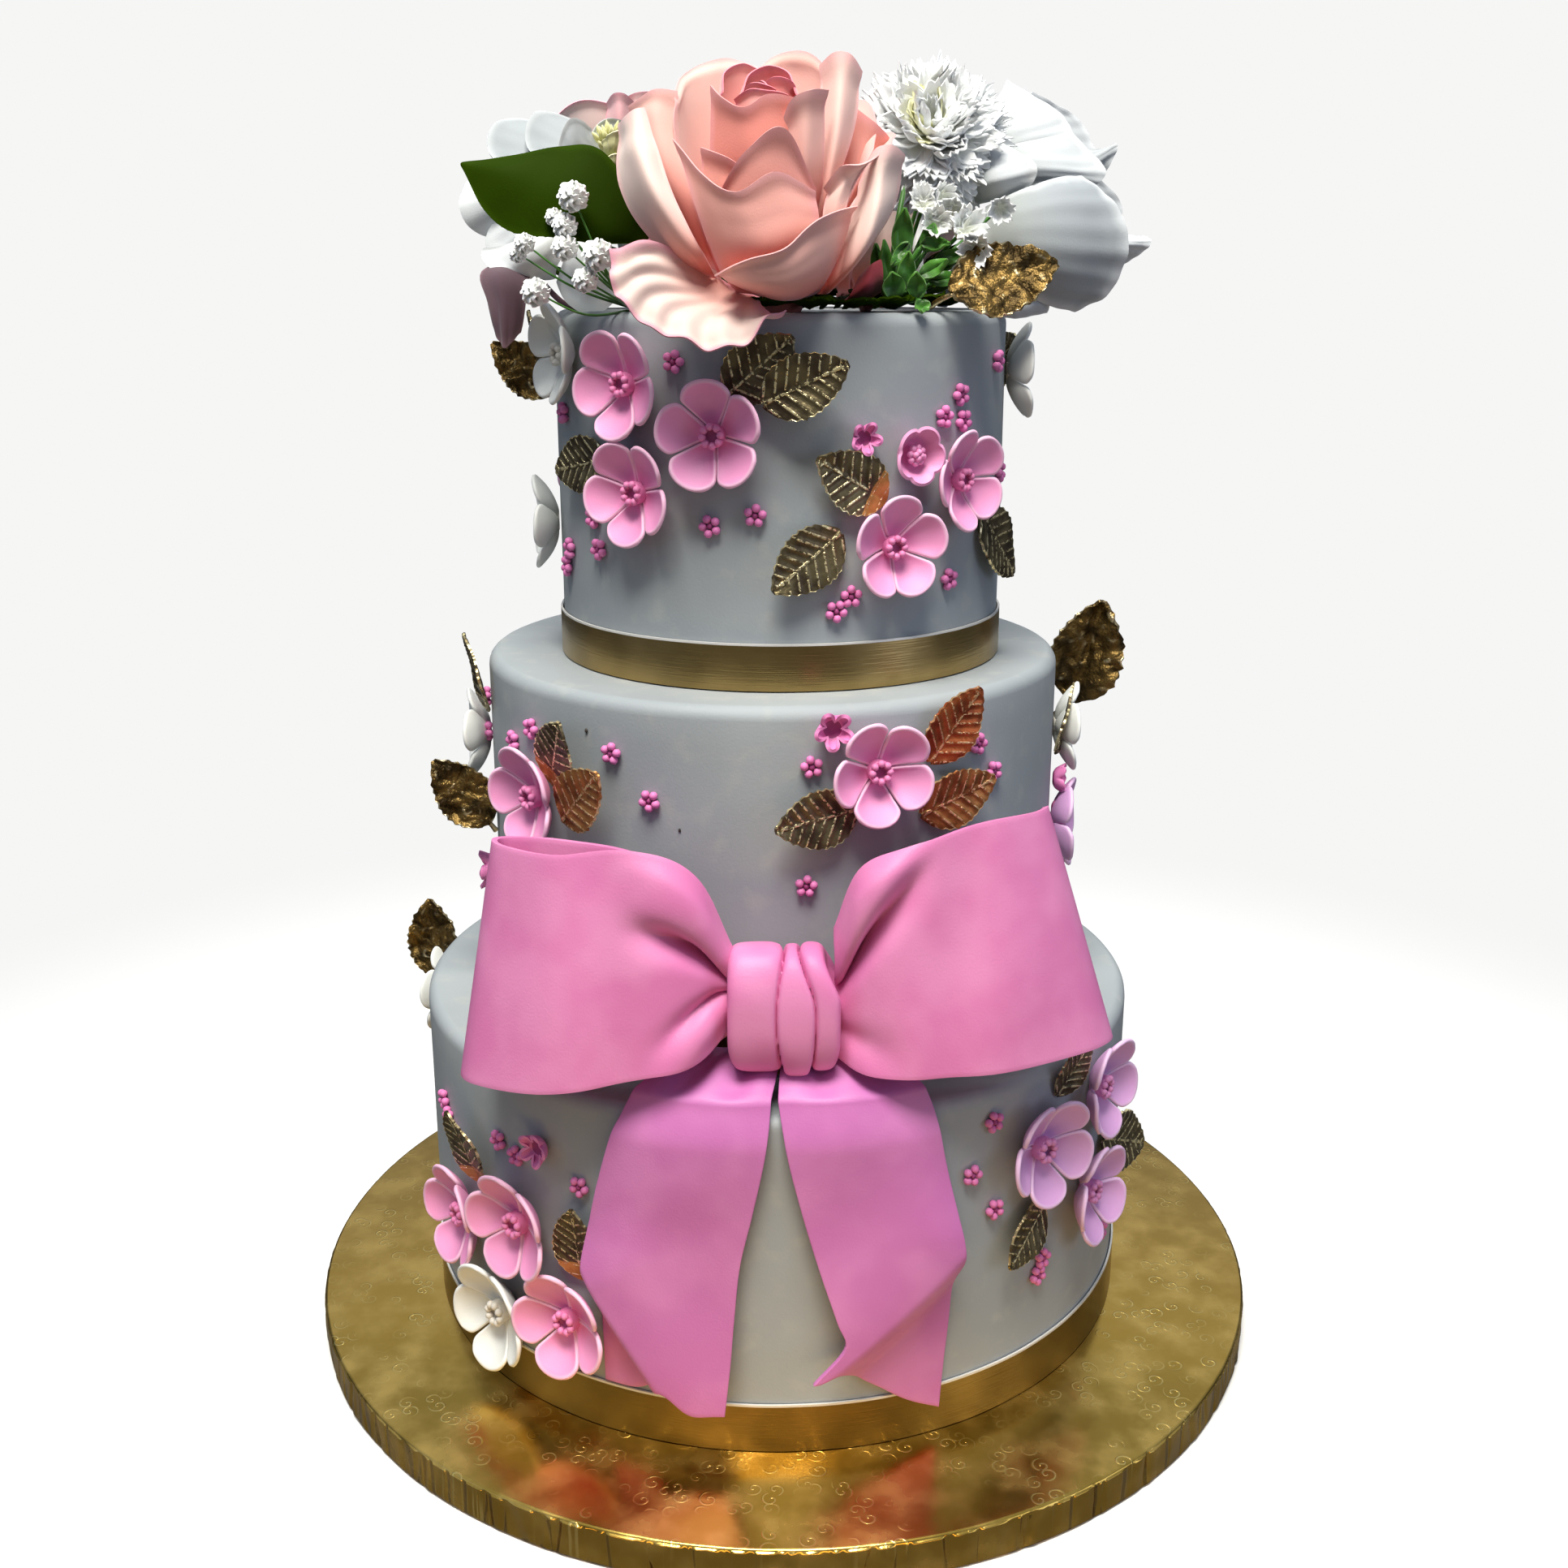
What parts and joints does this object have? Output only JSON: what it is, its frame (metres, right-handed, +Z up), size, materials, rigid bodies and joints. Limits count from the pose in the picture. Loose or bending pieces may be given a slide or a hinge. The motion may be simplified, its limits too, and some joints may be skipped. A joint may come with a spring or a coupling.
{
  "type": "birthday cake",
  "caption": "Tiered grey fondant birthday cake with a pink sugar bow, sugar blossoms, gilded leaves, gold ribbons and a posy of cloth flowers, on a round gold board.",
  "frame": {"origin": "centre of the board's underside, on the surface the cake stands on", "axes": "+Z up, the bow and the front of the cake towards -Y, +X to the viewer's right"},
  "size_m": [0.357, 0.357, 0.4495],
  "materials": {
    "fondant_grey": "matte rolled fondant, pale cool grey",
    "board_foil": "embossed gold foil glued over card, glossy",
    "ribbon_gold": "gold satin ribbon",
    "bow_pink": "smooth rolled sugar paste, soft satin",
    "petal_pink": "cut sugar paste, pink",
    "petal_lilac": "cut sugar paste, lilac",
    "petal_white": "cut sugar paste, white",
    "gilded_leaf": "sugar paste brushed with edible gold, glints on the veins",
    "cloth_salmon": "matte cloth petals, salmon",
    "cloth_white": "matte cloth petals, white",
    "cloth_mauve": "matte cloth petal, dull mauve",
    "cloth_green": "waxed cloth leaf, deep green"
  },
  "bodies": {
    "root": {"board": "board_foil", "tier_bottom": "fondant_grey", "tier_middle": "fondant_grey", "tier_top": "fondant_grey", "ribbon_bottom": "ribbon_gold", "ribbon_middle": "ribbon_gold", "ribbon_top": "ribbon_gold", "bow_knot": "bow_pink", "bow_loop_left": "bow_pink", "bow_loop_right": "bow_pink", "bow_tail_left": "bow_pink", "bow_tail_right": "bow_pink", "blossom_top_1": "petal_pink", "blossom_top_2": "petal_pink", "blossom_top_3": "petal_pink", "blossom_top_4": "petal_pink", "blossom_top_5": "petal_pink", "blossom_top_6": "petal_white", "blossom_top_7": "petal_white", "blossom_top_8": "petal_white", "blossom_middle_1": "petal_pink", "blossom_middle_2": "petal_pink", "blossom_middle_3": "petal_white", "blossom_middle_4": "petal_white", "blossom_middle_5": "petal_lilac", "blossom_bottom_1": "petal_pink", "blossom_bottom_2": "petal_pink", "blossom_bottom_3": "petal_white", "blossom_bottom_4": "petal_pink", "blossom_bottom_5": "petal_lilac", "blossom_bottom_6": "petal_lilac", "blossom_bottom_7": "petal_lilac", "blossom_cup": "petal_pink", "leaf_top_1": "gilded_leaf", "leaf_top_2": "gilded_leaf", "leaf_top_3": "gilded_leaf", "leaf_top_4": "gilded_leaf", "leaf_top_5": "gilded_leaf", "leaf_top_6": "gilded_leaf", "leaf_middle_1": "gilded_leaf", "leaf_middle_2": "gilded_leaf", "leaf_middle_3": "gilded_leaf", "leaf_middle_4": "gilded_leaf", "leaf_middle_5": "gilded_leaf", "leaf_middle_6": "gilded_leaf", "leaf_middle_7": "gilded_leaf", "leaf_bottom_1": "gilded_leaf", "leaf_bottom_2": "gilded_leaf", "leaf_topper": "gilded_leaf", "rose_front": "cloth_salmon", "rose_rear": "cloth_salmon", "rose_back": "cloth_salmon", "rose_low_petal": "cloth_salmon", "bloom_left": "cloth_white", "peony_right": "cloth_white", "chrysanthemum": "cloth_white", "babys_breath": "cloth_white", "petal_mauve": "cloth_mauve", "leaf_green": "cloth_green", "sprig_green": "cloth_green"}
  },
  "joints": []
}
